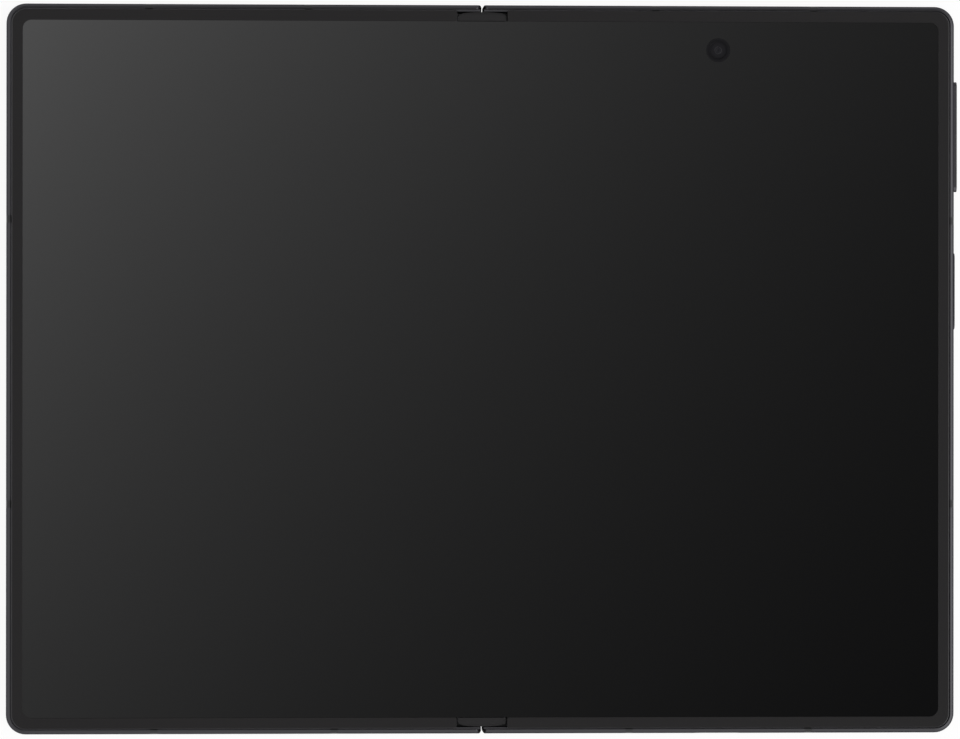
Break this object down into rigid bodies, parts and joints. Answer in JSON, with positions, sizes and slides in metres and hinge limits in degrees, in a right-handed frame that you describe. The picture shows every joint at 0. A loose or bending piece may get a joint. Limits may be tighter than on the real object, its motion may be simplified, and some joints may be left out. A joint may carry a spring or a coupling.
{
  "type": "foldable smartphone",
  "caption": "Book-style folding phone lying open and flat: wide inner screen, geared hinge with a hidden spine, cover display on the back, rear camera island, side keys and card tray.",
  "frame": {"origin": "on the fold line, at the middle of its length, in the plane of the rear lens rims", "axes": "+Z out of the inner screen, +X along the open phone to the rail with the keys, +Y along the fold to the end with the inner camera"},
  "size_m": [0.1621, 0.124, 0.0064],
  "materials": {
    "rail_metal": "fine satin anodised, dark graphite",
    "band_plastic": "satin moulded plastic",
    "bezel": "matt moulded, fine grain",
    "screen": "glossy flexible screen, switched off",
    "steel": "plain stamped or ground steel",
    "black_plastic": "matt black moulded plastic",
    "flex_copper": "copper under amber film",
    "board": "solder-masked circuit board",
    "board_black": "black taped display panel",
    "cell": "black laminated foil",
    "rear_glass": "matt etched dark glass",
    "cover_glass": "glossy black glass over a display",
    "island_metal": "satin anodised, polished rims",
    "lens_glass": "coated lens glass",
    "flash": "clear ribbed window over a pale diode",
    "spine_metal": "satin anodised, dark graphite"
  },
  "bodies": {
    "right_half": {"right_frame": "rail_metal", "right_antenna_bands": "band_plastic", "right_bezel": "bezel", "screen_right": "screen", "right_screen_plate": "steel", "inner_camera": "black_plastic", "key_switches": "flex_copper", "main_board": "board", "shield_cans": "steel", "right_battery": "cell", "charging_coil": "flex_copper", "loudspeaker": "black_plastic", "usb_c_socket": "steel", "rear_cover": "rear_glass", "camera_island": "island_metal", "rear_lens_covers": "lens_glass", "rear_camera_modules": "black_plastic", "flash_window": "flash", "right_arm_top": "steel", "right_arm_bottom": "steel", "right_arm_screws": "steel"},
    "spine": {"spine_cover": "spine_metal", "hinge_cap_top": "bezel", "hinge_cap_bottom": "bezel", "hinge_base_top": "steel", "hinge_base_bottom": "steel", "hinge_shafts": "steel", "friction_discs": "steel", "spine_screws": "steel", "screen_fold": "screen", "fold_flex_cables": "flex_copper"},
    "left_half": {"left_frame": "rail_metal", "left_antenna_bands": "band_plastic", "left_bezel": "bezel", "screen_left": "screen", "left_screen_plate": "steel", "cover_glass": "cover_glass", "cover_display_panel": "board_black", "cover_camera": "black_plastic", "left_battery": "cell", "sub_board": "board", "top_speaker": "black_plastic", "vibration_motor": "steel", "card_reader": "steel", "left_arm_top": "steel", "left_arm_bottom": "steel", "left_arm_screws": "steel"},
    "idler_right": {"idler_gears_right": "steel"},
    "idler_left": {"idler_gears_left": "steel"},
    "right_support_flap": {"right_flap": "steel"},
    "left_support_flap": {"left_flap": "steel"},
    "volume_button": {"volume_key": "rail_metal"},
    "power_button": {"power_key": "rail_metal"},
    "tray": {"card_tray": "rail_metal"}
  },
  "joints": [
    {"name": "right_fold", "type": "hinge", "parent": "right_half", "child": "spine", "pos_m": [0.0021, 0, 0.0044], "axis": [0, 1, 0], "range_deg": [0, 90], "deforming": ["screen_fold", "fold_flex_cables"]},
    {"name": "left_fold", "type": "hinge", "parent": "spine", "child": "left_half", "pos_m": [-0.0021, 0, 0.0044], "axis": [0, 1, 0], "range_deg": [0, 90]},
    {"name": "idler_right_spin", "type": "hinge", "parent": "spine", "child": "idler_right", "pos_m": [0.0007, 0, 0.0044], "axis": [0, 1, 0], "range_deg": [0, 90]},
    {"name": "idler_left_spin", "type": "hinge", "parent": "spine", "child": "idler_left", "pos_m": [-0.0007, 0, 0.0044], "axis": [0, 1, 0], "range_deg": [-90, 0]},
    {"name": "right_flap_tilt", "type": "hinge", "parent": "right_half", "child": "right_support_flap", "pos_m": [0.0065, 0, 0.00545], "axis": [0, 1, 0], "range_deg": [-27, 0]},
    {"name": "left_flap_tilt", "type": "hinge", "parent": "left_half", "child": "left_support_flap", "pos_m": [-0.0065, 0, 0.00545], "axis": [0, 1, 0], "range_deg": [0, 27]},
    {"name": "volume_rock", "type": "hinge", "parent": "right_half", "child": "volume_button", "pos_m": [0.0785, 0.0398, 0.0037], "axis": [0, 0, 1], "range_deg": [-1.2, 1.2], "stiffness_Nm_per_rad": 0.3},
    {"name": "power_press", "type": "slide", "parent": "right_half", "child": "power_button", "axis": [-1, 0, 0], "range_m": [0, 0.0002], "stiffness_N_per_m": 3000},
    {"name": "tray_slide", "type": "slide", "parent": "left_half", "child": "tray", "axis": [0, -1, 0], "range_m": [0, 0.02]}
  ],
  "couplings": [
    {"joint": "left_fold", "follows": "right_fold", "ratio": 1},
    {"joint": "idler_right_spin", "follows": "right_fold", "ratio": 1},
    {"joint": "idler_left_spin", "follows": "right_fold", "ratio": -1},
    {"joint": "right_flap_tilt", "follows": "right_fold", "ratio": -0.3},
    {"joint": "left_flap_tilt", "follows": "right_fold", "ratio": 0.3}
  ]
}
